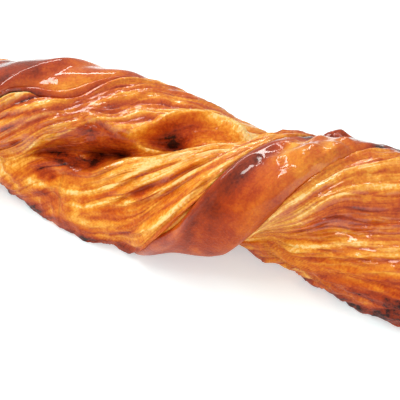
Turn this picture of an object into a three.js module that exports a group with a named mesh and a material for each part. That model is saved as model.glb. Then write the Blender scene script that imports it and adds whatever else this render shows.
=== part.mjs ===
// A danish twist: one long strip of laminated dough, folded, twisted and baked as a single piece, lying on its
// flat baked underside. Millimetres, +Z up. X runs along the twist, and the origin is under its middle, on the
// surface that it rests on.
//
// The solid is one closed skin. At each station along X its section is a broad creased oval, which turns half a
// turn from one waist to the next, with a smooth band wound over it that crosses the front at each waist.
// A place on the skin is given by x and by its facing: degrees round the axis, 0 towards the front and above,
// falling towards the top and rising towards the tray.

import * as THREE from "three";
import { mergeVertices } from "three/addons/utils/BufferGeometryUtils.js";

// Driving dimensions
const LENGTH = 214;
const AXIS_HEIGHT = 20.4; // the twist's axis above the surface that it rests on
const FRONT = 138; // degrees from +Y towards +Z of facing 0
const WAIST_X = 24; // the waist nearest to the middle
const WAIST_SPACING = 108.8;

// How the axis wanders from one waist to the next
const SIDE_SHIFT = 1.37; // of the whole axis, so that the twist stands centred
const SWAY = 1.2; // sideways
const SWAY_LEAD = 70; // degrees of its wave, ahead of the waist
const BOB = 0.45; // up and down

// The broad strip
const HALF_WIDTH_WAIST = 23;
const HALF_WIDTH_BELLY = 28.4;
const HALF_THICKNESS_WAIST = 18.9;
const HALF_THICKNESS_BELLY = 15.6;
const LOPSIDED = 0.04; // how much wider its leading edge is
const STRIP_TURN_BIAS = 0.39; // how much faster than even it turns at a waist
const CREASES = [
  { at: -86, depth: 4.5 }, // degrees round the strip from its leading edge
  { at: 62, depth: 3 },
];
const CREASE_HALF_ANGLE = 18;

// The band wound over it
const BAND_X = 21.3; // where its middle faces the front
const BAND_PITCH = 105.3;
const BAND_TURN_BIAS = 0.26;
const BAND_HEIGHT = 3; // above the strip
const BAND_HALF_ANGLE = 61;
const BAND_SHOULDER = 10; // degrees over which each edge of it rises, either side of its half angle

// The ends
const END_BLUNTNESS = 3.4; // exponent of the rounding at each end: higher is blunter
const END_DROP = 0.6; // share of the axis height that follows the section down at an end

// Mesh resolution
const AROUND = 64;
const ALONG = 64;
const END_CROWDING = 0.85; // how much closer the rings stand towards the ends: 0 is even, 1 is a sphere's
const MESH_TURN = 110; // degrees that the meridians wind from one waist to the next

const RADIANS = Math.PI / 180;
const FULL_TURN = 2 * Math.PI;

// An angle in degrees that falls from 0 at x0 by `turn` for each `pitch` of x, faster near x0 by the share `bias`.
function turnAt(x, x0, pitch, turn, bias) {
  const u = (x - x0) / pitch;
  return -turn * (u + (bias * Math.sin(FULL_TURN * u)) / FULL_TURN);
}

// An angle in degrees, brought into the half turn either side of 0.
function wrapped(angle) {
  return THREE.MathUtils.euclideanModulo(angle + 180, 360) - 180;
}

// Distance from the axis to the uncreased oval's skin.
function ovalRadius(x, facing) {
  const atWaist = 0.5 + 0.5 * Math.cos((FULL_TURN * (x - WAIST_X)) / WAIST_SPACING);
  const fromEdge = (facing - turnAt(x, WAIST_X, WAIST_SPACING, 180, STRIP_TURN_BIAS)) * RADIANS;
  const c = Math.cos(fromEdge);
  const s = Math.sin(fromEdge);
  const halfWidth =
    THREE.MathUtils.lerp(HALF_WIDTH_BELLY, HALF_WIDTH_WAIST, atWaist) * (1 + LOPSIDED * c);
  const halfThickness = THREE.MathUtils.lerp(HALF_THICKNESS_BELLY, HALF_THICKNESS_WAIST, atWaist);
  return (halfWidth * halfThickness) / Math.hypot(halfThickness * c, halfWidth * s);
}

// How deep the strip's creases are at a place on its skin.
function creaseDepth(x, facing) {
  const fromEdge = facing - turnAt(x, WAIST_X, WAIST_SPACING, 180, STRIP_TURN_BIAS);
  let depth = 0;
  for (const crease of CREASES) {
    depth += crease.depth * Math.exp(-((wrapped(fromEdge - crease.at) / CREASE_HALF_ANGLE) ** 2));
  }
  return depth;
}

// Distance from the axis to the twist's skin, before the ends taper.
function skinRadius(x, facing) {
  const fromBand = Math.abs(wrapped(facing - turnAt(x, BAND_X, BAND_PITCH, 360, BAND_TURN_BIAS)));
  const offBand = THREE.MathUtils.smoothstep(
    fromBand,
    BAND_HALF_ANGLE - BAND_SHOULDER,
    BAND_HALF_ANGLE + BAND_SHOULDER,
  );
  return ovalRadius(x, facing) + THREE.MathUtils.lerp(BAND_HEIGHT, -creaseDepth(x, facing), offBand);
}

// A point of the skin, from a point of the unit sphere whose poles are the two ends. The sphere's meridians are
// wound round with the strip, so that the facets run along the twist.
function skinPoint(pole, side, up) {
  const latitude = Math.asin(THREE.MathUtils.clamp(pole, -1, 1)) / (Math.PI / 2);
  const share = Math.sin((latitude * Math.PI * END_CROWDING) / 2) / Math.sin((Math.PI * END_CROWDING) / 2);
  const x = (share * LENGTH) / 2;
  const wound = turnAt(x, WAIST_X, WAIST_SPACING, MESH_TURN, STRIP_TURN_BIAS);
  const facing = Math.atan2(up, side) / RADIANS + wound;
  const angle = (FRONT + facing) * RADIANS;
  const taper = (1 - Math.min(1, Math.abs(share)) ** END_BLUNTNESS) ** (1 / END_BLUNTNESS);
  const radius = taper * skinRadius(x, facing);
  const wave = (FULL_TURN * (x - WAIST_X)) / WAIST_SPACING;
  const sideways = SIDE_SHIFT + SWAY * Math.cos(wave + SWAY_LEAD * RADIANS);
  const height = AXIS_HEIGHT * (1 - END_DROP + END_DROP * taper) + BOB * taper * Math.cos(wave);
  return new THREE.Vector3(
    x,
    sideways + radius * Math.cos(angle),
    Math.max(0, height + radius * Math.sin(angle)), // dough settles flat on the tray
  );
}

function twistGeometry() {
  const ball = new THREE.SphereGeometry(1, AROUND, ALONG);
  ball.deleteAttribute("normal");
  ball.deleteAttribute("uv");
  const geometry = mergeVertices(ball, 1e-5);
  geometry.rotateZ(-Math.PI / 2); // the poles from Y to X
  const at = geometry.getAttribute("position");
  for (let i = 0; i < at.count; i++) {
    const p = skinPoint(at.getX(i), at.getY(i), at.getZ(i));
    at.setXYZ(i, p.x, p.y, p.z);
  }
  geometry.computeVertexNormals();
  return geometry;
}

const crust = new THREE.MeshStandardMaterial({ color: 0xc8742c, roughness: 0.3, metalness: 0 });

const pastry = new THREE.Mesh(twistGeometry(), crust);
pastry.name = "danish_twist";

const group = new THREE.Group();
group.add(pastry);

export default group;
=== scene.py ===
"""A danish twist: a turning strip of laminated dough with a smooth band wound over it, glazed and baked.

Lengths are millimetres while a shape is worked out, and metres once it is in its mesh. Angles are degrees.
X runs along the twist. A place on its skin is given by x and by its facing: degrees round the axis, 0
towards the front and above, where the twist is mostly seen from, falling towards the top and rising towards
the tray. Toast is how far a place is baked, from 0 where it is palest to 1 where it is burnt; in places it
also carries painted shade, raised in creases, hollows and under edges, and painted highlight, lowered on
some crests.
"""

from __future__ import annotations

import logging
import math
from dataclasses import dataclass

import bmesh
import bpy
import numpy as np
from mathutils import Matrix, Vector


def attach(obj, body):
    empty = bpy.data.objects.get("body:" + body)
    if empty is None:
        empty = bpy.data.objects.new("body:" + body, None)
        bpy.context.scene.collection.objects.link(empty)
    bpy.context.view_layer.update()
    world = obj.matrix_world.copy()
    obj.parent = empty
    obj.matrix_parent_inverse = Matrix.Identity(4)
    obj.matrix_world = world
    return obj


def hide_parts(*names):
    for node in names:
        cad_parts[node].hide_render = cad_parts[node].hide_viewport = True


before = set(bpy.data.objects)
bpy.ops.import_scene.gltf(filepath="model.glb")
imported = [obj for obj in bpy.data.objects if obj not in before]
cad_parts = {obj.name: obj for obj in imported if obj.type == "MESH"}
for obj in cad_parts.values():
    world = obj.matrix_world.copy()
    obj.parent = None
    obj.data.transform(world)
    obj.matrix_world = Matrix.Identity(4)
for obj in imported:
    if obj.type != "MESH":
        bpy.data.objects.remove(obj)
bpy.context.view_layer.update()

LOG = logging.getLogger("danish_twist")

NODE = "danish_twist"
BODY = "root"
MM = 0.001
FRONT = 138.0  # degrees from +Y towards +Z of facing 0
SKIN_RADIUS = 22.0  # mm from the axis to a typical place on the skin

Values = np.ndarray  # a number, or a row of them, for each vertex
Route = tuple[tuple[float, float], ...]  # x in mm and facing in degrees of points along a line
Span = tuple[float, float, float, float]  # where something starts, is full, begins to fall and ends


# ---------- small helpers


def linear(colour: str) -> tuple[float, float, float, float]:
    """Turn an sRGB hex colour into a linear one.

    Args:
        colour: six hex digits, with or without a leading #.

    Returns:
        Linear red, green and blue, and an alpha of 1.
    """
    digits = colour.lstrip("#")
    parts = [int(digits[i : i + 2], 16) / 255.0 for i in (0, 2, 4)]
    turned = [c / 12.92 if c <= 0.04045 else ((c + 0.055) / 1.055) ** 2.4 for c in parts]
    return (turned[0], turned[1], turned[2], 1.0)


def add_node(
    tree: bpy.types.NodeTree,
    kind: str,
    settings: dict[str, object] | None = None,
    sockets: dict[str | int, object] | None = None,
) -> bpy.types.Node:
    """Add a node with its settings, its constant values and its links.

    Args:
        tree: the node tree that it joins.
        kind: the node's type name.
        settings: attributes of the node itself.
        sockets: by input name or number, a value, or the output socket that feeds it.

    Returns:
        The new node.
    """
    node = tree.nodes.new(kind)
    for name, value in (settings or {}).items():
        setattr(node, name, value)
    for name, value in (sockets or {}).items():
        if isinstance(value, bpy.types.NodeSocket):
            tree.links.new(value, node.inputs[name])
        else:
            node.inputs[name].default_value = value
    return node


def smooth_step(low: float, high: float, value: Values) -> Values:
    """Rise smoothly from 0 at `low` to 1 at `high`.

    Args:
        low: where the rise starts.
        high: where it ends; it may be the smaller of the two.
        value: the values to map.

    Returns:
        The mapped values, between 0 and 1.
    """
    t = np.clip((value - low) / (high - low), 0.0, 1.0)
    return t * t * (3.0 - 2.0 * t)


def plateau(value: Values, start: float, full: float, falling: float, end: float) -> Values:
    """Rise smoothly from 0 to 1, stay there, and fall smoothly back to 0.

    Args:
        value: the values to map.
        start: where the rise starts.
        full: where it reaches 1.
        falling: where the fall starts.
        end: where it is back at 0.

    Returns:
        The mapped values, between 0 and 1.
    """
    return smooth_step(start, full, value) * smooth_step(end, falling, value)


def bell(value: Values, centre: float | Values, width: float | Values) -> Values:
    """Return 1 at the centre, falling to 1/e at `width` from it."""
    return np.exp(-(((value - centre) / width) ** 2))


def wrapped(degrees: Values) -> Values:
    """Bring angles into the half turn either side of 0."""
    return (degrees + 180.0) % 360.0 - 180.0




def follow(route: Route, x: Values) -> Values:
    """Return the facing, at each x, of a smooth line through a route's points.

    Args:
        route: x in mm and facing in degrees of each point, with x rising.
        x: where to read it; past its ends the line runs on straight.

    Returns:
        Facings in degrees.
    """
    marks = np.array(route, dtype=float)
    xs, facings = marks[:, 0], marks[:, 1]
    slopes = np.gradient(facings, xs)
    inside = np.clip(x, xs[0], xs[-1])
    k = np.clip(np.searchsorted(xs, inside, side="right") - 1, 0, len(xs) - 2)
    gap = xs[k + 1] - xs[k]
    t = (inside - xs[k]) / gap
    on_points = (1.0 + 2.0 * t) * (1.0 - t) ** 2 * facings[k] + t * t * (3.0 - 2.0 * t) * facings[k + 1]
    on_slopes = gap * (t * (1.0 - t) ** 2 * slopes[k] - t * t * (1.0 - t) * slopes[k + 1])
    past = (x - inside) * np.where(x < xs[0], slopes[0], slopes[-1])
    return on_points + on_slopes + past


def brushed(facing: Values) -> Values:
    """Return how thickly the glaze lies: 1 on what faces up, thin low on the sides and underneath."""
    up = np.sin(np.radians(FRONT + facing))
    return 0.12 + 0.88 * smooth_step(-0.15, 0.6, up)


class Ripple:
    """Smooth seeded noise over the twist's skin, which closes on itself round the axis."""

    WAVES = 16

    def __init__(self, seed: int, around: int, wavelength: float) -> None:
        """Draw the waves.

        Args:
            seed: picks the pattern.
            around: the most waves round the axis.
            wavelength: typical length of a wave along X, in mm.
        """
        rng = np.random.default_rng(seed)
        self.counts = rng.integers(-around, around + 1, self.WAVES)
        self.rates = rng.normal(0.0, 1.0, self.WAVES) * 2.0 * math.pi / wavelength
        self.phases = rng.uniform(0.0, 2.0 * math.pi, self.WAVES)
        self.share = math.sqrt(2.0 / self.WAVES)

    def at(self, x: Values, turn: Values) -> Values:
        """Return the noise, mostly between -1.5 and 1.5, at x in mm and turn in degrees."""
        radians = np.radians(turn)
        total = np.zeros(np.broadcast(x, turn).shape)
        for count, rate, phase in zip(self.counts, self.rates, self.phases):
            total += np.sin(count * radians + rate * x + phase)
        return total * self.share


class Crumb:
    """Smooth seeded noise in space, the same in every direction."""

    CELLS = 32

    def __init__(self, seed: int, size: float) -> None:
        """Fill the lattice.

        Args:
            seed: picks the pattern.
            size: of a crumb, in mm.
        """
        self.lattice = np.random.default_rng(seed).uniform(-1.0, 1.0, (self.CELLS, self.CELLS, self.CELLS))
        self.size = size

    def at(self, points: Values) -> Values:
        """Return the noise, between -1 and 1, at points in mm, one per row."""
        cell = np.floor(points / self.size).astype(int)
        t = points / self.size - cell
        t = t * t * (3.0 - 2.0 * t)
        total = np.zeros(points.shape[:-1])
        for corner in np.ndindex(2, 2, 2):
            share = np.prod(np.where(np.array(corner) == 1, t, 1.0 - t), axis=-1)
            i, j, k = np.moveaxis((cell + corner) % self.CELLS, -1, 0)
            total += share * self.lattice[i, j, k]
        return total


# ---------- form of the twist


@dataclass(frozen=True)
class TwistForm:
    """The law of the twist: where its skin lies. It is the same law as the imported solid's."""

    length: float = 214.0
    waist_x: float = 24.0
    waist_spacing: float = 108.8
    axis_height: float = 20.4
    side_shift: float = 1.37
    sway: float = 1.2
    sway_lead: float = 70.0
    bob: float = 0.45
    half_width_waist: float = 23.0
    half_width_belly: float = 28.4
    half_thickness_waist: float = 18.9
    half_thickness_belly: float = 15.6
    lopsided: float = 0.04
    turn_bias: float = 0.39
    creases: tuple[tuple[float, float], ...] = ((-86.0, 4.5), (62.0, 3.0))
    crease_half_angle: float = 18.0
    band_x: float = 21.3
    band_pitch: float = 105.3
    band_turn_bias: float = 0.26
    band_height: float = 3.0
    band_half_angle: float = 61.0
    band_shoulder: float = 10.0
    wrap_lead: float = 15.0
    wrap_half_angle: float = 47.0
    slack: float = 44.0
    slack_span: Span = (-66.0, -42.0, -24.0, -6.0)
    apron: float = 17.0
    apron_span: Span = (-34.0, -16.0, -6.0, 7.0)
    end_bluntness: float = 3.4
    end_drop: float = 0.6

    def strip_turn(self, x: Values) -> Values:
        """Return the facing of the strip's leading edge, in degrees."""
        u = (x - self.waist_x) / self.waist_spacing
        return -180.0 * (u + self.turn_bias * np.sin(2.0 * math.pi * u) / (2.0 * math.pi))

    def band_turn(self, x: Values) -> Values:
        """Return the facing of the wound band's middle, in degrees."""
        u = (x - self.band_x) / self.band_pitch
        return -360.0 * (u + self.band_turn_bias * np.sin(2.0 * math.pi * u) / (2.0 * math.pi))

    def wrap_slack(self, x: Values) -> Values:
        """Return by how many degrees more the wrap hangs down on its tray side, over the left belly."""
        return self.slack * plateau(x, *self.slack_span)

    def wrap_apron(self, x: Values) -> Values:
        """Return by how many degrees more the wrap spreads on its top side, low on the front."""
        return self.apron * plateau(x, *self.apron_span)

    def under_wrap(self, x: Values, facing: Values) -> Values:
        """Return 1 under the smooth outer wrap of the band, and 0 clear of it."""
        off = wrapped(facing - self.band_turn(x) - self.wrap_lead)
        off = np.where(off > 0.0, off - self.wrap_slack(x), -off - self.wrap_apron(x))
        return smooth_step(self.wrap_half_angle + 1.0, self.wrap_half_angle - 5.0, off)

    def taper(self, x: Values) -> Values:
        """Return the share of full size that a section has, 0 at the two ends."""
        share = np.clip(np.abs(2.0 * x / self.length), 0.0, 1.0)
        return (1.0 - share**self.end_bluntness) ** (1.0 / self.end_bluntness)

    def oval(self, x: Values, facing: Values) -> Values:
        """Return the distance from the axis to the broad strip's skin, with no crease and no taper."""
        at_waist = 0.5 + 0.5 * np.cos(2.0 * math.pi * (x - self.waist_x) / self.waist_spacing)
        width = self.half_width_belly + at_waist * (self.half_width_waist - self.half_width_belly)
        thick = self.half_thickness_belly + at_waist * (self.half_thickness_waist - self.half_thickness_belly)
        turn = np.radians(facing - self.strip_turn(x))
        c, s = np.cos(turn), np.sin(turn)
        width = width * (1.0 + self.lopsided * c)
        return width * thick / np.hypot(thick * c, width * s)

    def strip_radius(self, x: Values, facing: Values) -> Values:
        """Return the distance from the axis to the creased strip's skin, before the ends taper."""
        turn, wide = facing - self.strip_turn(x), self.crease_half_angle
        dent = sum(depth * bell(wrapped(turn - at), 0.0, wide) for at, depth in self.creases)
        return self.oval(x, facing) - dent

    def skin_radius(self, x: Values, facing: Values) -> Values:
        """Return the distance from the axis to the twist's outer skin, with its ends tapered."""
        off = np.abs(wrapped(facing - self.band_turn(x)))
        edge, soft = self.band_half_angle, self.band_shoulder
        on_band = smooth_step(edge + soft, edge - soft, off)
        strip = self.strip_radius(x, facing)
        return self.taper(x) * (strip + on_band * (self.oval(x, facing) + self.band_height - strip))

    def place(self, x: Values, facing: Values, radius: Values) -> Values:
        """Return points in mm, one per row, at a distance from the axis.

        Args:
            x: place along the twist.
            facing: degrees round the axis.
            radius: distance from the axis.

        Returns:
            An array of X, Y and Z, settled flat on the tray.
        """
        angle = np.radians(FRONT + facing)
        swing = 2.0 * math.pi * (x - self.waist_x) / self.waist_spacing
        side = self.side_shift + self.sway * np.cos(swing + math.radians(self.sway_lead))
        taper = self.taper(x)
        centre = self.axis_height * (1.0 - self.end_drop + self.end_drop * taper)
        up = centre + self.bob * taper * np.cos(swing) + radius * np.sin(angle)
        return np.stack([x, side + radius * np.cos(angle), np.maximum(up, 0.0)], axis=-1)


@dataclass(frozen=True)
class PlyBand:
    """One size of ply: ridges with round crests and sharp creases, which wander and overlap in steps."""

    count: int
    height: float
    wander: float
    wavelength: float
    step: float
    seed: int

    def measure(self, x: Values, turn: Values) -> tuple[Values, Values, Values, Values]:
        """Measure the ridges.

        Args:
            x: place along the twist, in mm.
            turn: degrees round the strip from its leading edge.

        Returns:
            Height in mm, how near a crest it is from 0 to 1, the ply's own random number from 0 to 1, and the
            place across the plies, counted in plies.
        """
        rng = np.random.default_rng(self.seed)
        tall = rng.uniform(0.35, 1.0, self.count)
        steps = rng.uniform(-1.0, 1.0, self.count)
        tones = rng.uniform(0.0, 1.0, self.count)
        sway = Ripple(self.seed + 1, 3, self.wavelength).at(x, turn)
        swell = Ripple(self.seed + 2, 14, self.wavelength * 0.35).at(x, turn)
        q = self.count * turn / 360.0 + self.wander * sway
        index = np.floor(q).astype(int)
        t = q - index
        crest = np.sin(math.pi * t**0.8) ** 0.8
        here, before = index % self.count, (index - 1) % self.count
        over = smooth_step(0.0, 0.16, t)
        stepped = steps[before] + (steps[here] - steps[before]) * over
        toned = tones[before] + (tones[here] - tones[before]) * over
        height = self.height * tall[here] * crest * np.clip(0.7 + 0.42 * swell, 0.1, 1.4)
        return height + self.step * stepped * np.clip(0.8 + 0.4 * swell, 0.0, 1.4), crest, toned, q


@dataclass(frozen=True)
class Fold:
    """A raised fold, or a trough, that runs along a route over the twist's skin.

    Its steeper side is towards the tray where `lean` is above 0, and towards the top where it is below. A
    darker line of painted shade runs along the foot of that side.
    """

    route: Route
    width: float
    height: float
    toast: float = 0.0
    painted_foot_shade: float = 0.0
    lean: float = 0.0
    fade: float = 8.0

    def measure(self, form: TwistForm, x: Values, facing: Values) -> tuple[Values, Values]:
        """Measure the fold.

        Args:
            form: the twist that it lies on.
            x: place along the twist, in mm.
            facing: degrees round the axis.

        Returns:
            Its height in mm, and how much browner than the rest it is.
        """
        middle = follow(self.route, x)
        round_mm = np.radians(1.0) * form.oval(x, middle)
        slope = (follow(self.route, x + 0.5) - follow(self.route, x - 0.5)) * round_mm
        across = wrapped(facing - middle) * round_mm / np.hypot(1.0, slope)
        tray_side = 0.5 * self.width * (1.0 - 0.75 * self.lean)
        top_side = 0.5 * self.width * (1.0 + 0.75 * self.lean)
        profile = bell(across, 0.0, np.where(across > 0.0, tray_side, top_side))
        foot = 1.5 * tray_side + 0.3 if self.lean >= 0.0 else -1.5 * top_side - 0.3
        # A darker line along the foot of the steep side: painted shade.
        painted_foot_shade = self.painted_foot_shade * bell(across, foot, 0.7)
        first, last = self.route[0][0], self.route[-1][0]
        ends = plateau(x, first - 1.0, first + self.fade, last - self.fade, last + 1.0)
        return self.height * profile * ends, (self.toast * profile + painted_foot_shade) * ends


@dataclass(frozen=True)
class Patch:
    """A swelling, a hollow or a browned place, longer one way than the other."""

    x: float
    facing: float
    long: float
    broad: float
    height: float
    toast: float
    slope: float = -1.5
    ragged: float = 0.25
    tear_mm: float = 4.0

    def measure(self, form: TwistForm, x: Values, facing: Values) -> tuple[Values, Values]:
        """Measure the patch.

        Args:
            form: the twist that it lies on.
            x: place along the twist, in mm.
            facing: degrees round the axis.

        Returns:
            Its height in mm, and how much browner than the rest it is.
        """
        round_mm = math.radians(1.0) * form.oval(x, facing)
        along = x - self.x
        across = wrapped(facing - self.facing - self.slope * along) * round_mm
        tilt = math.hypot(1.0, self.slope * math.radians(1.0) * SKIN_RADIUS)
        tears = Crumb(int(self.x) % 97 + 300, self.tear_mm).at(form.place(x, facing, SKIN_RADIUS))
        uneven = 1.0 + self.ragged * tears
        share = np.exp(-uneven * ((along * tilt / self.long) ** 2 + (across / tilt / self.broad) ** 2))
        return self.height * share, self.toast * share


@dataclass(frozen=True)
class Fan:
    """Plies that lie between two lines over the skin, and draw together where the lines do.

    `sink` lowers their middle, and `glaze` and `crumb` scale the glaze and the roughness that they hold.
    """

    upper: Route
    lower: Route
    plies: int
    relief: float
    tone: float
    toast: float
    seed: int
    sink: float = 0.0
    glaze: float = 1.0
    crumb: float = 1.0
    breadth: float = 26.0
    narrowest: float = 3.0
    full_ply: float = 3.0

    def measure(self, form: TwistForm, x: Values, facing: Values) -> tuple[Values, Values, Values, Values]:
        """Measure the fan.

        Args:
            form: the twist that it lies on.
            x: place along the twist, in mm.
            facing: degrees round the axis.

        Returns:
            How much the fan holds there from 0 to 1, height in mm, toast, and place across the plies in mm.
        """
        above, below = follow(self.upper, x), follow(self.lower, x)
        span = np.maximum(below - above, self.narrowest)
        share = wrapped(facing - above) / span
        first = max(self.upper[0][0], self.lower[0][0])
        last = min(self.upper[-1][0], self.lower[-1][0])
        held = plateau(share, -0.06, 0.03, 0.97, 1.06)
        held *= plateau(x, first - 5.0, first + 5.0, last - 5.0, last + 5.0)
        spacing = span * math.radians(1.0) * SKIN_RADIUS / self.plies
        room = np.clip(spacing / self.full_ply, 0.0, 1.0)
        turn = 360.0 * share
        broad = PlyBand(self.plies, self.relief, 0.3, 60.0, 0.3, self.seed)
        fine = PlyBand(self.plies * 3, self.relief * 0.4, 0.6, 45.0, 0.1, self.seed + 3)
        rise, crest, tone, _ = broad.measure(x, turn)
        fine_rise, fine_crest, fine_tone, _ = fine.measure(x, turn)
        height = room * (rise + fine_rise) - self.sink * plateau(share, 0.0, 0.3, 0.6, 1.0)
        browner_and_shaded = 0.4 * (tone - 0.5) + 0.36 * (fine_tone - 0.5)
        # Creases between the plies are darker: partly browning, partly painted shade.
        browner_and_shaded += 0.3 * (1.0 - crest) ** 2 + 0.2 * (1.0 - fine_crest) ** 2
        return held, height, self.toast + self.tone * browner_and_shaded, share * self.breadth


# ---------- mesh making


@dataclass
class Skin:
    """Points of a closed skin, with their toast, glaze and place along, across and up through the plies."""

    points: Values
    toast: Values
    grain: Values
    glaze: Values


class Ball:
    """A bmesh ball whose poles are the two ends of the form that it is moulded into."""

    def __init__(self, name: str, around: int, along: int, cuts: int = 0) -> None:
        """Make the ball and read off where its vertices are.

        Args:
            name: of the piece.
            around: segments round the pole axis, before they are cut finer.
            along: rings from pole to pole, before they are cut finer.
            cuts: how many times each edge is cut.
        """
        self.name = name
        bm = bmesh.new()
        bmesh.ops.create_uvsphere(bm, u_segments=around, v_segments=along, radius=1.0)
        if cuts:
            bmesh.ops.subdivide_edges(bm, edges=bm.edges[:], cuts=cuts, use_grid_fill=True)
        self.mesh = bpy.data.meshes.new(name)
        bm.to_mesh(self.mesh)
        bm.free()
        flat = np.empty(len(self.mesh.vertices) * 3)
        self.mesh.vertices.foreach_get("co", flat)
        co = flat.reshape(-1, 3)
        co = co / np.linalg.norm(co, axis=1, keepdims=True)
        self.share = np.arcsin(np.clip(co[:, 2], -1.0, 1.0)) / (math.pi / 2.0)
        self.turn = np.degrees(np.arctan2(co[:, 1], co[:, 0]))

    def spread(self, length: float, crowding: float) -> Values:
        """Return each vertex's place along a length centred on 0.

        Args:
            length: from pole to pole.
            crowding: how much closer the rings stand towards the ends: 0 is even, 1 is a ball's.

        Returns:
            The places, from -length/2 to length/2.
        """
        quarter = 0.5 * math.pi * crowding
        return 0.5 * length * np.clip(np.sin(quarter * self.share) / math.sin(quarter), -1.0, 1.0)

    def mould(self, skin: Skin, finish: bpy.types.Material) -> bpy.types.Object:
        """Move the vertices onto a skin and dress the piece.

        Args:
            skin: where each vertex goes, with its attributes.
            finish: its material.

        Returns:
            The finished piece, which rides on the twist's body.
        """
        self.mesh.vertices.foreach_set("co", (skin.points * MM).ravel())
        for kind, values in (("toast", skin.toast), ("glaze", skin.glaze)):
            attribute = self.mesh.attributes.new(kind, "FLOAT", "POINT")
            attribute.data.foreach_set("value", values)
        grain = self.mesh.attributes.new("grain", "FLOAT_VECTOR", "POINT")
        grain.data.foreach_set("vector", skin.grain.ravel())
        bm = bmesh.new()
        bm.from_mesh(self.mesh)
        bmesh.ops.recalc_face_normals(bm, faces=bm.faces[:])
        for face in bm.faces:
            face.smooth = True
        bm.to_mesh(self.mesh)
        bm.free()
        self.mesh.materials.append(finish)
        piece = bpy.data.objects.new(self.name, self.mesh)
        bpy.context.scene.collection.objects.link(piece)
        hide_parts(NODE)
        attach(piece, BODY)
        LOG.info("%s: %d faces", self.name, len(self.mesh.polygons))
        return piece


# Where the two fans of plies beyond the band meet
RIDGE: Route = ((29, 34), (38, 25), (46, 7), (52, -7), (60, -15), (70, -26), (96, -60))


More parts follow.
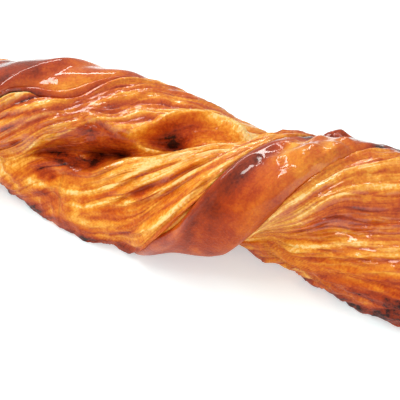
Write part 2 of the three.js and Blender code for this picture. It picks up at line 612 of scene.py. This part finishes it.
@dataclass
class Strip:
    """The broad strip of laminated dough: plies along it, folds, and a torn pocket in its front crease."""

    form: TwistForm
    around: int = 96
    along: int = 64
    cuts: int = 3
    ring_crowding: float = 0.7
    front_crowding: float = 0.3
    ply_slip: float = 0.7
    sunk: float = 0.8
    pressed: float = 2.2
    pressed_left: float = 1.8
    lump_mm: float = 3.4
    lump_height: float = 0.28
    crumb_mm: float = 1.7
    crumb_height: float = 0.12
    ply_width: float = 6.5
    ply_toast: float = 0.27
    belly_toast: float = 0.24
    tray_toast: float = 0.4
    bands: tuple[PlyBand, ...] = (
        PlyBand(count=24, height=1.3, wander=0.4, wavelength=90.0, step=0.5, seed=11),
        PlyBand(count=61, height=0.5, wander=0.6, wavelength=70.0, step=0.15, seed=21),
        PlyBand(count=131, height=0.15, wander=0.8, wavelength=50.0, step=0.05, seed=31),
    )
    # Each fan: its upper and lower line, plies, relief in mm, tone, toast and seed
    fans: tuple[Fan, ...] = (
        # Plies from the band's left lobe to the pocket, and on over the top
        Fan(((-100, 44), (-64, -13), (-55, -36), (-44, -46), (-37, -60)),
            ((-100, 110), (-70, 66), (-56, 33), (-50, 9), (-40, -15), (-35, -30)), 6, 0.8, 0.7, 0.34, 51),
        Fan(((-38, -51), (-33, -64), (-26, -80), (-16, -100), (4, -130)),
            ((-38, -32), (-30, -34), (-22, -50), (-10, -62), (0, -78), (10, -82)), 5, 0.9, 0.7, 0.32, 61),
        # The smooth wall under the long lip
        Fan(((-22, -30), (-14, -47), (-7, -64), (0, -74), (9, -77), (18, -50)),
            ((-22, 2), (-14, -10), (-6, -20), (1, -34), (8, -50), (20, -48)), 2, 0.15, 0.2, 0.34, 71,
            glaze=0.2, crumb=0.4),
        # The torn pocket
        Fan(((-52, 26), (-47, 6), (-43, -6), (-38, -18), (-34, -27), (-28, -25), (-20, -24)),
            ((-52, 33), (-47, 31), (-42, 28), (-36, 27), (-30, 23), (-24, 9), (-18, -8)), 3, 0.5, 0.3, 0.5,
            111, sink=2.2, glaze=0.35, crumb=2.2),
        # The fan under it, drawn in towards the band's lip
        Fan(((-40, 34), (-29, 24), (-19, 0), (-6, -18), (8, -49), (24, -64)),
            ((-40, 90), (-26, 84), (-13, 80), (0, 46), (8, 24), (16, 2), (24, -40)), 11, 1.2, 0.65, 0.2, 81),
        # Beyond the band
        Fan(((29, 29), (34, 6), (40, -14), (48, -41), (56, -58), (66, -80), (96, -120)),
            RIDGE, 8, 0.9, 0.55, 0.19, 91),
        Fan(RIDGE,
            ((29, 66), (40, 78), (60, 84), (96, 70)), 7, 1.0, 0.7, 0.26, 101),
    )
    # Each fold: its route, width and height in mm, toast, painted shade at its foot, lean and fade.
    # A toast below 0 paints a crest pale: partly pale dough, partly a painted highlight.
    folds: tuple[Fold, ...] = (
        # Upper left
        Fold(((-80, -25), (-68, -39), (-59, -47), (-50, -62)), 2.0, 0.7, -0.22, 0.1, 0.3),
        Fold(((-84, 0), (-66, -30), (-59, -42), (-53, -54)), 6.0, -0.8, 0.26),
        Fold(((-86, 20), (-66, -17), (-57, -33), (-48, -43), (-42, -50)), 3.4, 1.3, -0.22, 0.1, 0.4),
        Fold(((-66, -22), (-60, -29), (-54, -41), (-48, -54)), 2.2, 0.7, -0.2, 0.0, 0.3),
        Fold(((-90, 25), (-64, -8), (-55, -31), (-44, -41), (-37, -55), (-30, -74)), 3.0, -1.0, 0.3),
        Fold(((-80, 14), (-64, -8), (-54, -23), (-48, -32), (-40, -45)), 3.2, 1.5, -0.24, 0.3, 0.6),
        Fold(((-80, 26), (-63, 2), (-57, -9), (-50, -23), (-42, -36)), 3.0, 1.2, -0.18, 0.25, 0.6),
        Fold(((-54, -4), (-46, -19), (-40, -33)), 2.0, 0.9, -0.12, 0.12, 0.6),
        Fold(((-76, 44), (-62, 20), (-56, 9), (-49, -5)), 2.6, 1.0, -0.1, 0.2, 0.6),
        # Torn edge over the pocket, on into the small lip above and the long one
        Fold(((-66, 56), (-56, 33), (-50, 9), (-46, -7), (-40, -17), (-35, -29)), 3.6, 2.2, -0.1, 0.1, 0.8,
             16.0),
        Fold(((-38, -28), (-32, -29), (-24, -28), (-18, -29)), 2.6, 2.0, -0.08, 0.08, 0.8, 3.0),
        Fold(((-32, -31), (-26, -39), (-21, -48), (-13, -52)), 2.2, 1.5, -0.16, 0.25, 0.8, 3.0),
        Fold(((-38, -38), (-33, -50), (-24, -64), (-15, -73), (-4, -86)), 2.6, 1.0, -0.18, 0.12, 0.4),
        Fold(((-40, -48), (-36, -56), (-31, -70), (-24, -86)), 2.4, 1.0, -0.08, 0.15, 0.4),
        Fold(((-21, -29), (-17, -37), (-11, -53), (-4, -66), (4, -72), (12, -70), (19, -52)), 2.2, 3.3,
             -0.26, 0.0, 0.7, 3.0),
        Fold(((-21, -31), (-17, -40), (-11, -56), (-4, -69), (4, -75), (12, -73), (19, -55)), 1.0, 0.5, -0.2),
        Fold(((-22, -20), (-14, -33), (-6, -46), (3, -57), (13, -64)), 7.0, -2.6, 0.1),
        Fold(((-20, -27), (-14, -42), (-7, -57), (0, -66)), 4.5, 0.0, 0.26),
        Fold(((-11, -48), (-4, -60), (4, -66), (12, -64), (18, -47)), 2.4, 0.0, 0.17),
        # Top ridge of the fan, and those under it
        Fold(((-32, 30), (-26, 12), (-19, 0), (-11, -9), (1, -34), (10, -50), (24, -56)), 2.8, 2.4, -0.22,
             0.12, -0.6),
        Fold(((-30, 38), (-21, 16), (-15, 4), (-6, -11), (6, -30)), 2.2, 1.5, -0.2, 0.1, -0.3),
        Fold(((-26, 42), (-16, 17), (-9, 0), (-1, -18), (12, -38)), 2.0, 1.4, -0.15, 0.16, 0.3),
        Fold(((-24, 48), (-10, 19), (-3, 5), (2, -6), (12, -26)), 3.0, 1.9, -0.24, 0.18, 0.5),
        Fold(((-26, 58), (-14, 30), (-4, 13)), 2.0, -0.8, 0.2),
        Fold(((-26, 60), (-15, 43), (-3, 25), (4, 12)), 2.2, -0.9, 0.24),
        Fold(((-14, 62), (-6, 47), (2, 30), (9, 6), (18, -22)), 1.6, 1.2, -0.2),
        Fold(((-22, 30), (-13, 10), (-5, -4), (5, -20), (14, -36)), 1.5, 1.3, -0.26, 0.1, 0.5),
        Fold(((-18, 46), (-8, 27), (0, 12), (8, -8), (14, -22)), 1.5, 1.2, -0.24, 0.1, 0.5),
        # The pocket's sill, web and near edge
        Fold(((-52, 34), (-43, 27), (-36, 28), (-30, 25), (-24, 11), (-19, -2)), 2.6, 1.2, 0.2, 0.2, -0.5),
        Fold(((-21, -22), (-17, -19), (-13, -19), (-9, -17)), 2.0, 1.8, -0.24, 0.0, 0.0, 3.0),
        Fold(((-39, 12), (-36, 17), (-33, 22)), 1.2, 3.4, -0.1, 0.0, 0.0, 2.0),
        # Beyond the band
        Fold(((32, 16), (40, -8), (45, -22), (50, -33), (60, -52), (76, -74)), 2.4, 1.1, -0.18, 0.12, 0.4),
        Fold(((42, 0), (51, -22), (58, -35), (67, -46), (80, -60)), 2.0, 1.0, -0.2, 0.12, 0.4),
        Fold(((42, 14), (50, -4), (58, -17), (69, -31), (90, -60)), 7.0, 0.9, 0.3, 0.06, 0.4),
        Fold(((38, 20), (46, 10), (54, 0), (62, -6), (70, -16), (90, -40)), 6.0, 2.7, 0.04, 0.12, 0.3),
        Fold(((34, 48), (42, 41), (54, 22), (72, 4), (92, -16)), 2.8, 1.1, -0.16, 0.12, 0.4),
        Fold(((34, 54), (42, 47), (55, 35), (64, 23), (76, 14), (92, 2)), 2.8, 1.0, -0.12, 0.15, 0.4),
        Fold(((30, 62), (44, 62), (58, 50), (72, 40), (90, 28)), 3.2, 1.0, -0.05, 0.2, 0.4),
        Fold(((34, 70), (48, 68), (60, 66), (90, 52)), 4.0, 1.0, 0.2, 0.2, 0.4),
        Fold(((36, -88), (44, -91), (52, -86), (62, -72)), 3.0, 0.8, 0.5),
    )
    # Each patch: its x, facing, length, breadth and height in mm, toast, slope and raggedness
    patches: tuple[Patch, ...] = (
        Patch(-46, -64, 9.0, 6.0, 1.2, -0.1),
        Patch(-66, -26, 10.0, 5.0, 0.0, 0.12),
        Patch(-31, -46, 4.0, 2.5, 0.4, 0.2),
        Patch(-29, -40, 4.5, 2.0, -1.4, 0.05),
        # Hollows of the pocket, darkened as painted shade, and the scorched crumb round them
        Patch(-33, 14, 3.4, 2.6, -5.0, 0.34),
        Patch(-26, 0, 4.6, 2.6, -4.5, 0.3),
        Patch(-8, -41, 5.4, 3.2, -4.2, 0.6, -0.6),
        Patch(-33, -17, 5.0, 3.6, 2.8, 0.06),
        Patch(-30, -4, 9.0, 2.6, 0.0, 0.12, -1.0),
        Patch(-43, 36, 10.0, 4.2, 0.5, 0.28, -0.5),
        Patch(-32, 40, 3.0, 2.0, 0.8, -0.1),
        Patch(-6, -40, 8.0, 3.0, 0.0, -0.1),
        Patch(7, -58, 10.0, 5.0, 0.0, -0.3),
        Patch(14, -3, 3.4, 2.2, 0.8, -0.1, -3.0),
        # Lumps and crumbly creases of the left belly; the creases' darker toast is partly browning, partly
        # painted shade
        Patch(-60, 52, 8.0, 5.0, 1.8, -0.08),
        Patch(-47, 46, 6.0, 1.8, -1.8, 0.42, -0.6),
        Patch(-38, 50, 5.0, 3.4, 1.4, -0.1, -0.4),
        Patch(-46, 68, 9.0, 2.4, -1.2, 0.26, -0.8),
        Patch(-34, 64, 7.0, 4.0, 1.3, 0.0, -0.5),
        Patch(-14, 62, 12.0, 8.0, 0.0, 0.16),
        Patch(-12, 73, 8.0, 5.0, -1.7, 0.0, 0.0),
        Patch(-58, 70, 9.0, 5.0, 0.8, 0.1),
        Patch(76, 66, 12.0, 6.0, 0.6, 0.5),
        Patch(58, 76, 12.0, 4.0, 0.3, 0.22),
    )

    def build(self, finish: bpy.types.Material) -> bpy.types.Object:
        """Mould the strip.

        Args:
            finish: its material.

        Returns:
            The finished piece.
        """
        form = self.form
        ball = Ball("laminated_strip", self.around, self.along, self.cuts)
        x = ball.spread(form.length, self.ring_crowding)
        facing = wrapped(ball.turn - self.ply_slip * x + form.strip_turn(x))
        facing = facing - np.degrees(self.front_crowding * np.sin(np.radians(facing)))
        taper = form.taper(x)
        height, toast, across = self.lay_plies(x, facing - form.strip_turn(x) + self.ply_slip * x)
        glaze, roughened = brushed(facing), np.ones_like(x)
        for fan in self.fans:
            held, fan_height, fan_toast, fan_across = fan.measure(form, x, facing)
            height += held * (fan_height - height)
            toast += held * (fan_toast - toast)
            glaze *= 1.0 + held * (fan.glaze - 1.0)
            roughened += held * (fan.crumb - roughened)
            across = np.where(held > 0.5, fan_across, across)
        # The left belly is crumbly: its plies are fainter and its lumps are higher.
        crumbly = smooth_step(-24.0, -40.0, x) * bell(wrapped(facing), 64.0, 25.0)
        height *= 1.0 - 0.6 * crumbly
        toast += 0.55 * crumbly * (self.belly_toast - toast)
        roughened += 2.2 * crumbly
        for shape in self.folds + self.patches:
            rise, browning = shape.measure(form, x, facing)
            height += rise
            toast += browning
        # The underside, which baked against the tray, is as rough.
        roughened += 2.2 * smooth_step(-0.35, -0.75, np.sin(np.radians(FRONT + facing)))
        place = form.place(x, facing, SKIN_RADIUS)
        lumps, crumb = Crumb(55, self.lump_mm).at(place), Crumb(56, self.crumb_mm).at(place)
        height += roughened * (self.lump_height * lumps + self.crumb_height * crumb)
        pressed = self.pressed + self.pressed_left * smooth_step(-26.0, -40.0, x)
        lowered = self.sunk + pressed * form.under_wrap(x, facing)
        radius = form.skin_radius(x, facing) + taper * (height * (0.35 + 0.65 * taper) - lowered)
        points = form.place(x, facing, np.maximum(radius, 0.0))
        toast += roughened * (0.07 * lumps + 0.04 * crumb)
        toast += self.tray_toast * smooth_step(9.0, 1.0, points[:, 2])
        grain = np.stack([x, across, height], axis=-1)
        return ball.mould(Skin(points, np.clip(toast, 0.0, 1.0), grain, glaze), finish)

    def lay_plies(self, x: Values, turn: Values) -> tuple[Values, Values, Values]:
        """Lay the plies of the whole strip, where no fan replaces them.

        Args:
            x: place along the twist, in mm.
            turn: degrees round the strip, measured along its plies.

        Returns:
            Height in mm, toast, and place across the plies in mm.
        """
        broad, narrow, fine = (band.measure(x, turn) for band in self.bands)
        height = broad[0] + narrow[0] + fine[0]
        toast = self.ply_toast + 0.3 * (broad[2] - 0.5) + 0.3 * (narrow[2] - 0.5)
        # Creases between the plies are darker: partly browning of the ply edges, partly painted shade.
        toast += 0.3 * (1.0 - broad[1]) ** 2.5 + 0.16 * (1.0 - narrow[1]) ** 2.5
        return height, toast, broad[3] * self.ply_width


@dataclass
class Band:
    """The smooth band wound over the strip: taut skin with a rolled lip along its upper side.

    `u` runs across it, from -1 along its upper side to 1 along its lower one.
    """

    form: TwistForm
    around: int = 48
    along: int = 120
    cuts: int = 3
    ring_crowding: float = 0.8
    short_of_ends: float = 6.0
    proud: float = 1.4
    buried: float = 6.0
    lip_height: float = 2.4
    lip_span: Span = (-9.0, 10.0, 12.0, 24.0)
    rim_height: float = 1.5
    hollow_depth: float = 0.8
    pucker_span: Span = (-128.0, -98.0, -32.0, -10.0)
    wrinkle_mm: float = 3.6
    wrinkle_height: float = 2.8
    crinkle_mm: float = 1.7
    crinkle_height: float = 1.2
    drawn_out: float = 2.5
    grain_width: float = 18.0
    toast: float = 0.64

    def build(self, finish: bpy.types.Material) -> bpy.types.Object:
        """Mould the band.

        Args:
            finish: its material.

        Returns:
            The finished piece.
        """
        form = self.form
        ball = Ball("wound_band", self.around, self.along, self.cuts)
        x = ball.spread(form.length - self.short_of_ends, self.ring_crowding)
        taper = form.taper(x)
        c, s = np.cos(np.radians(ball.turn)), np.sin(np.radians(ball.turn))
        u = np.sign(s) * np.abs(s) ** 0.75
        v = np.sign(c) * np.abs(c) ** 0.6
        facing = form.band_turn(x) + form.wrap_lead + form.wrap_half_angle * u
        facing = facing + form.wrap_slack(x) * (0.5 + 0.5 * u)
        facing = facing - form.wrap_apron(x) * (0.5 - 0.5 * u)
        puckered = smooth_step(20.0, 32.0, x) * plateau(wrapped(facing), *self.pucker_span)
        left = smooth_step(-26.0, -36.0, x)
        roll = self.lip_height * plateau(x, *self.lip_span) * bell(u, -0.86, 0.22)
        folds = self.crease(x, u, facing, puckered)
        swell = 1.2 * bell(x, -47.0, 9.0) * bell(u, 0.55, 0.35) - 2.2 * bell(x, -50.0, 16.0) * (u < 0.9)
        top = self.proud * (1.0 - 0.8 * smooth_step(0.4, 1.0, u)) + roll + folds
        top += left * (self.rim_height * bell(u, 0.82, 0.2) + swell) - self.hollow_depth * bell(u, -0.45, 0.3)
        skin = form.skin_radius(x, facing)
        outer = skin + taper * top
        inner = skin - taper * self.buried
        points = form.place(x, facing, inner + (outer - inner) * (0.5 + 0.5 * v))
        toast = self.brown(x, u, facing, left)
        flat = form.place(x, facing, SKIN_RADIUS)
        toast += puckered * (0.2 * Crumb(98, 4.0).at(flat) + 0.4 * smooth_step(-58.0, -74.0, wrapped(facing)))
        toast += 0.3 * bell(u, -0.99, 0.05) * smooth_step(8.0, 15.0, x) * (roll > 0.3)
        grain = np.stack([x, self.grain_width * u, folds], axis=-1)
        glaze = np.maximum(brushed(facing + 30.0), 0.7 * bell(u, -0.86, 0.14))
        return ball.mould(Skin(points, np.clip(toast, 0.0, 1.0), grain, glaze), finish)

    def crease(self, x: Values, u: Values, facing: Values, puckered: Values) -> Values:
        """Crease the skin: long soft folds all along it, and wrinkles where it puckers.

        Args:
            x: place along the twist, in mm.
            u: place across the band.
            facing: degrees round the axis.
            puckered: how much it puckers, from 0 to 1.

        Returns:
            Height in mm.
        """
        folds = 0.3 * Ripple(91, 2, 60.0).at(x, 60.0 * u) + 0.12 * Ripple(92, 6, 22.0).at(x, 60.0 * u)
        drawn = self.form.place(x, facing, SKIN_RADIUS) * np.array([1.0 / self.drawn_out, 1.0, 1.0])
        wrinkles = self.wrinkle_height * Crumb(95, self.wrinkle_mm).at(drawn)
        wrinkles += self.crinkle_height * Crumb(96, self.crinkle_mm).at(drawn)
        return folds + puckered * wrinkles * (1.0 - 0.5 * smooth_step(-56.0, -72.0, wrapped(facing)))

    def brown(self, x: Values, u: Values, facing: Values, left: Values) -> Values:
        """Return how far the band is baked.

        It is browner near its upper side. It is paler on top at the right, partly as painted light where that
        side faces the lamps. It is pale on its left lobe, with a pale rim that is partly a painted highlight,
        but for that lobe's end, which is browner, and its lower edge, which is darkened as painted shade
        under the rim.

        Args:
            x: place along the twist, in mm.
            u: place across the band.
            facing: degrees round the axis.
            left: 1 on the left lobe, and 0 clear of it.

        Returns:
            Toast.
        """
        clouds = 0.05 * Ripple(93, 3, 40.0).at(x, 60.0 * u) + 0.04 * Ripple(94, 8, 14.0).at(x, 60.0 * u)
        specks = 0.04 * Crumb(97, 2.6).at(self.form.place(x, facing, SKIN_RADIUS))
        upper = 0.1 * bell(u, -0.75, 0.4) - 0.12 * bell(u, -0.95, 0.2) * plateau(x, -30.0, -16.0, 4.0, 12.0)
        # Paler on top at the right: partly painted light, where that side faces the lamps.
        right = 0.24 * smooth_step(20.0, 34.0, x) * smooth_step(5.0, -35.0, wrapped(facing))
        # A pale middle on the left lobe, and a pale rim that is partly a painted highlight.
        middle = 0.2 * bell(x, -43.0, 9.0) * smooth_step(-0.9, 0.2, u) + 0.2 * bell(u, 0.84, 0.1)
        # On the left lobe, a browner end, and a lower edge darkened as painted shade under the rim.
        lobe = left * (0.22 * bell(x, -64.0, 9.0) + 0.3 * bell(u, 1.0, 0.06) - middle)
        return self.toast + clouds + specks + upper - right + lobe


@dataclass
class Flake:
    """A small scorched flake of crust, rooted in the band on one side and lifting on the other.

    `u` runs across it, from -1 along the side that lifts to 1 along the rooted one.
    """

    form: TwistForm
    route: Route = ((37, -72), (42, -80), (48, -90))
    width: float = 3.6
    thickness: float = 1.4
    height: float = 1.0
    lift: float = 2.8
    crown: float = 0.4
    sink: float = 0.6
    ruffle: float = 0.25
    ruffle_length: float = 13.0
    ribs: float = 1.3
    rib_height: float = 0.22
    torn: float = 0.16
    toast: float = 0.72
    edge_toast: float = 0.25
    blunt: float = 1.3
    around: int = 40
    along: int = 90

    def build(self, finish: bpy.types.Material) -> bpy.types.Object:
        """Mould the flake.

        Args:
            finish: its material.

        Returns:
            The finished piece.
        """
        form = self.form
        ball = Ball("flake_right", self.around, self.along)
        share = ball.spread(2.0, 0.85)
        t = 0.5 + 0.5 * share
        envelope = (1.0 - np.abs(share) ** self.blunt).clip(0.0) ** (1.0 / self.blunt)
        c, s = np.cos(np.radians(ball.turn)), np.sin(np.radians(ball.turn))
        u = np.sign(c) * np.abs(c) ** 0.85
        v = np.sign(s) * np.abs(s) ** 0.85
        knots = np.linspace(0.0, 1.0, 121)
        path_x, path_f = self.course(knots)
        radius = form.skin_radius(path_x, path_f)
        run_x, run_f = np.gradient(path_x), np.gradient(path_f) * np.radians(1.0) * radius
        step = np.hypot(run_x, run_f)
        arc = np.concatenate([[0.0], np.cumsum(0.5 * (step[1:] + step[:-1]))])
        side_x, side_f = -run_f / step, run_x / step
        sway = Ripple(908, 2, 0.55).at(t, 90.0 * u)
        along = np.interp(t, knots, arc)
        ragged = self.torn * Ripple(808, 1, 7.0).at(along, 50.0 * u) * np.abs(u) ** 3
        across = (u * (0.5 * self.width * (1.0 + 0.16 * sway) + ragged) + 0.25 * sway) * envelope
        x = np.interp(t, knots, path_x) + across * np.interp(t, knots, side_x)
        turned = across * np.interp(t, knots, side_f) / np.interp(t, knots, radius)
        facing = np.interp(t, knots, path_f) + np.degrees(turned)
        free = 0.5 - 0.5 * u
        waves = Ripple(708, 1, self.ruffle_length).at(along, 30.0 * u)
        rise = self.height - self.sink * (1.0 - free) ** 2 + self.crown * (1.0 - u * u)
        rise += (self.lift + self.ruffle * waves) * free**2
        rise = rise * (0.25 + 0.75 * envelope) - 0.8 * (1.0 - envelope) ** 2
        ribs = np.abs(np.sin(math.pi * (self.ribs * (u + 0.08 * sway)))) ** 0.6 - 0.6
        rise += self.rib_height * ribs * envelope * (v > -0.1)
        half_thick = 0.5 * self.thickness * (0.4 + 0.6 * envelope)
        lifted = form.taper(x) * (rise + v * half_thick)
        points = form.place(x, facing, form.skin_radius(x, facing) + lifted)
        toast = self.toast + self.edge_toast * np.maximum(free, 0.0) ** 6
        # Browner where it thins at the ends and along its ruffles, and darker on its underside as painted
        # shade.
        toast += 0.12 * (1.0 - envelope) + 0.06 * waves + 0.25 * (v < -0.2)
        grain = np.stack([along + 400.0, across, rise], axis=-1)
        return ball.mould(Skin(points, np.clip(toast, 0.0, 1.0), grain, brushed(facing)), finish)

    def course(self, knots: Values) -> tuple[Values, Values]:
        """Return x and facing along a smooth curve through the route's points.

        Args:
            knots: shares of the way, from 0 to 1.

        Returns:
            Places along X in mm, and facings in degrees.
        """
        marks = np.array(self.route, dtype=float)
        own = np.linspace(0.0, 1.0, len(marks))
        return tuple(np.polyval(np.polyfit(own, marks[:, k], len(marks) - 1), knots) for k in (0, 1))


# ---------- finishes


def blank_material(name: str) -> tuple[bpy.types.Material, bpy.types.NodeTree]:
    """Return a new material and its node tree, which is still empty."""
    material = bpy.data.materials.new(name)
    material.use_nodes = True
    material.node_tree.nodes.clear()
    return material, material.node_tree


@dataclass(frozen=True)
class BakedDough:
    """Laminated dough baked under a brushed sugar glaze.

    To the eye it has gold crests, red-brown creases with drawn-out fibres, and a wet-looking clear coat.
    """

    name: str = "Glazed laminated dough"
    cream_and_highlight: str = "#F6CF86"
    pale: str = "#EFAC42"
    gold: str = "#DB841F"
    amber: str = "#C45A12"
    russet: str = "#A5390C"
    dark: str = "#6E200A"
    burnt: str = "#2E0C05"
    streak_mm: float = 1.1
    streak: float = 0.36
    blotch_mm: float = 3.6
    blotch: float = 0.46
    crumb_mm: float = 0.9
    crumb: float = 0.34
    crumb_bump: float = 0.6
    pool_mm: float = 3.846
    pool_bump: float = 0.4
    bump_mm: float = 0.6
    roughness: float = 0.45
    specular: float = 0.12
    glaze_roughness: float = 0.07
    glaze_ior: float = 1.52
    glow_through: float = 0.12
    glow_depth_mm: float = 2.0

    def build(self) -> bpy.types.Material:
        """Make the material.

        Returns:
            The material, which reads the toast, grain and glaze attributes of its piece.
        """
        material, tree = blank_material(self.name)
        toast, glaze, grain = (
            add_node(tree, "ShaderNodeAttribute", {"attribute_name": name}).outputs[socket]
            for name, socket in (("toast", "Fac"), ("glaze", "Fac"), ("grain", "Vector"))
        )
        place = add_node(tree, "ShaderNodeTexCoord").outputs["Object"]
        # Fibres are drawn out along the ply: a millimetre or so wide, and many times as long.
        fibres = {"Vector": grain, "Scale": (0.09 / self.streak_mm, 1.0 / self.streak_mm, 0.3)}
        drawn = add_node(tree, "ShaderNodeMapping", sockets=fibres).outputs["Vector"]
        streak, blotch, crumb, pools = (
            add_node(
                tree,
                "ShaderNodeTexNoise",
                sockets={"Vector": vector, "Scale": scale, "Detail": detail, "Roughness": breakup},
            ).outputs["Fac"]
            for vector, scale, detail, breakup in (
                (drawn, 1.0, 4.0, 0.6),
                (place, 1.0 / (self.blotch_mm * MM), 3.0, 0.55),
                (place, 1.0 / (self.crumb_mm * MM), 2.0, 0.6),
                (place, 1.0 / (self.pool_mm * MM), 1.0, 0.5),
            )
        )
        # Where the oven coloured it more or less: each pattern shifts the toast either way from its middle.
        total = toast
        for source, weight in ((streak, self.streak), (blotch, self.blotch), (crumb, self.crumb)):
            scaled = {0: source, 1: weight, 2: -0.5 * weight}
            shift = add_node(tree, "ShaderNodeMath", {"operation": "MULTIPLY_ADD"}, scaled).outputs[0]
            total = add_node(tree, "ShaderNodeMath", {"operation": "ADD"}, {0: total, 1: shift}).outputs[0]
        rough = add_node(tree, "ShaderNodeMath", {"operation": "ADD"}, {0: streak, 1: crumb}).outputs[0]
        # The crust is rough to the touch, and the glaze pools over it in shallow waves.
        crust, glazed = (
            add_node(
                tree,
                "ShaderNodeBump",
                sockets={"Strength": strength, "Distance": self.bump_mm * MM, "Height": height},
            ).outputs["Normal"]
            for strength, height in ((self.crumb_bump, rough), (self.pool_bump, pools))
        )
        sockets = {
            "Base Color": self.toasted(tree, total),
            "Roughness": self.roughness,
            "Specular IOR Level": self.specular,
            "Normal": crust,
            "Coat Weight": glaze,
            "Coat Roughness": self.glaze_roughness,
            "Coat IOR": self.glaze_ior,
            "Coat Normal": glazed,
            "Subsurface Weight": self.glow_through,
            "Subsurface Radius": (1.0, 0.35, 0.12),
            "Subsurface Scale": self.glow_depth_mm * MM,
        }
        shader = add_node(tree, "ShaderNodeBsdfPrincipled", sockets=sockets)
        add_node(tree, "ShaderNodeOutputMaterial", sockets={"Surface": shader.outputs["BSDF"]})
        return material

    def toasted(self, tree: bpy.types.NodeTree, toast: bpy.types.NodeSocket) -> bpy.types.NodeSocket:
        """Turn toast into colour.

        Args:
            tree: the material's node tree.
            toast: 0 where it is palest and 1 where it is burnt.

        Returns:
            The colour's socket.
        """
        node = add_node(tree, "ShaderNodeValToRGB", sockets={"Fac": toast})
        palest, darkest = node.color_ramp.elements
        # The palest stop is cream dough, and partly a painted highlight on the palest crests.
        palest.position, palest.color = 0.0, linear(self.cream_and_highlight)
        darkest.position, darkest.color = 1.0, linear(self.burnt)
        colours = (self.pale, self.gold, self.amber, self.russet, self.dark)
        for position, colour in zip((0.09, 0.26, 0.47, 0.68, 0.92), colours):
            node.color_ramp.elements.new(position).color = linear(colour)
        return node.outputs["Color"]


@dataclass(frozen=True)
class LitFloor:
    """A matt white light table: a plain bright ground, on which the contact shadow stays faint."""

    name: str = "White light table"
    colour: str = "#E2F0F4"
    roughness: float = 0.9
    glow: float = 0.45

    def build(self) -> bpy.types.Material:
        """Make the material.

        Returns:
            The material.
        """
        material, tree = blank_material(self.name)
        sockets = {
            "Base Color": linear(self.colour),
            "Roughness": self.roughness,
            "Emission Color": linear(self.colour),
            "Emission Strength": self.glow,
        }
        shader = add_node(tree, "ShaderNodeBsdfPrincipled", sockets=sockets)
        add_node(tree, "ShaderNodeOutputMaterial", sockets={"Surface": shader.outputs["BSDF"]})
        return material


# ---------- studio


@dataclass(frozen=True)
class Softbox:
    """A softbox turned to face the twist. One that is not mirrored leaves no highlight in the glaze."""

    name: str
    at: tuple[float, float, float]
    wide: float
    deep: float
    watts: float
    mirrored: bool = True
    colour: tuple[float, float, float] = (1.0, 0.965, 0.915)

    def hang(self) -> None:
        """Hang the softbox."""
        data = bpy.data.lights.new(self.name, "AREA")
        data.shape = "RECTANGLE"
        data.size = self.wide
        data.size_y = self.deep
        data.energy = self.watts
        data.color = self.colour
        lamp = bpy.data.objects.new(self.name, data)
        lamp.visible_glossy = self.mirrored
        lamp.location = self.at
        lamp.rotation_euler = Vector(self.at).to_track_quat("Z", "Y").to_euler()
        bpy.context.scene.collection.objects.link(lamp)


@dataclass
class Studio:
    """Floor, light and camera. Lengths are metres, but for the lens."""

    azimuth: float = 24.9
    elevation: float = 40.0
    distance: float = 0.6
    lens: float = 170.0
    aim: tuple[float, float, float] = (0.0, 0.0014, 0.0205)
    aim_drop: float = 0.0071
    floor_half: float = 3.0
    surround: tuple[float, float, float, float] = (1.0, 0.94, 0.87, 1.0)
    surround_strength: float = 0.57
    softboxes: tuple[Softbox, ...] = (
        Softbox("key_softbox", (-0.25, -0.12, 0.8), 0.6, 0.13, 3.1),
        Softbox("back_softbox", (-0.27, 0.42, 0.65), 0.5, 0.1, 2.3),
        Softbox("front_fill", (0.1, -0.9, 0.6), 0.9, 0.3, 1.9, mirrored=False),
        Softbox("left_fill", (-0.9, -0.5, 0.5), 0.5, 0.5, 2.0, mirrored=False),
        Softbox("right_fill", (0.9, -0.7, 0.5), 0.5, 0.5, 2.0, mirrored=False),
    )

    def build(self) -> None:
        """Lay the floor, light it and set the camera."""
        self.lay_floor()
        self.light()
        self.place_camera()

    def lay_floor(self) -> None:
        """Lay a plain white floor that runs out of every view."""
        bm = bmesh.new()
        bmesh.ops.create_grid(bm, x_segments=1, y_segments=1, size=self.floor_half)
        mesh = bpy.data.meshes.new("floor")
        bm.to_mesh(mesh)
        bm.free()
        mesh.materials.append(LitFloor().build())
        floor = bpy.data.objects.new("floor", mesh)
        bpy.context.scene.collection.objects.link(floor)

    def light(self) -> None:
        """Set the pale surround and hang the softboxes."""
        world = bpy.data.worlds.new("surround")
        world.use_nodes = True
        bpy.context.scene.world = world
        background = world.node_tree.nodes["Background"]
        background.inputs["Color"].default_value = self.surround
        background.inputs["Strength"].default_value = self.surround_strength
        for softbox in self.softboxes:
            softbox.hang()

    def place_camera(self) -> None:
        """Set the camera above and to the front, looking down on the middle of the twist."""
        a, e = math.radians(self.azimuth), math.radians(self.elevation)
        back = Vector((math.sin(a) * math.cos(e), -math.cos(a) * math.cos(e), math.sin(e)))
        up = back.cross(Vector((math.cos(a), math.sin(a), 0.0)))
        data = bpy.data.cameras.new("camera")
        data.lens = self.lens
        camera = bpy.data.objects.new("camera", data)
        camera.location = Vector(self.aim) - up * self.aim_drop + back * self.distance
        camera.rotation_euler = back.to_track_quat("Z", "Y").to_euler()
        bpy.context.scene.collection.objects.link(camera)
        bpy.context.scene.camera = camera
        bpy.context.scene.view_settings.view_transform = "Standard"


# ---------- main


def main() -> None:
    """Build the twist and its studio in order."""
    logging.basicConfig(level=logging.INFO)
    form = TwistForm()
    dough = BakedDough().build()
    # The band's skin was on the outside of the dough, so it shows hardly any fibres and broader blotches.
    skin = BakedDough(name="Glazed smooth skin", streak=0.16, blotch_mm=5.0, crumb=0.3).build()
    Strip(form).build(dough)
    Band(form).build(skin)
    Flake(form).build(dough)
    Studio().build()


if __name__ == "__main__":
    main()
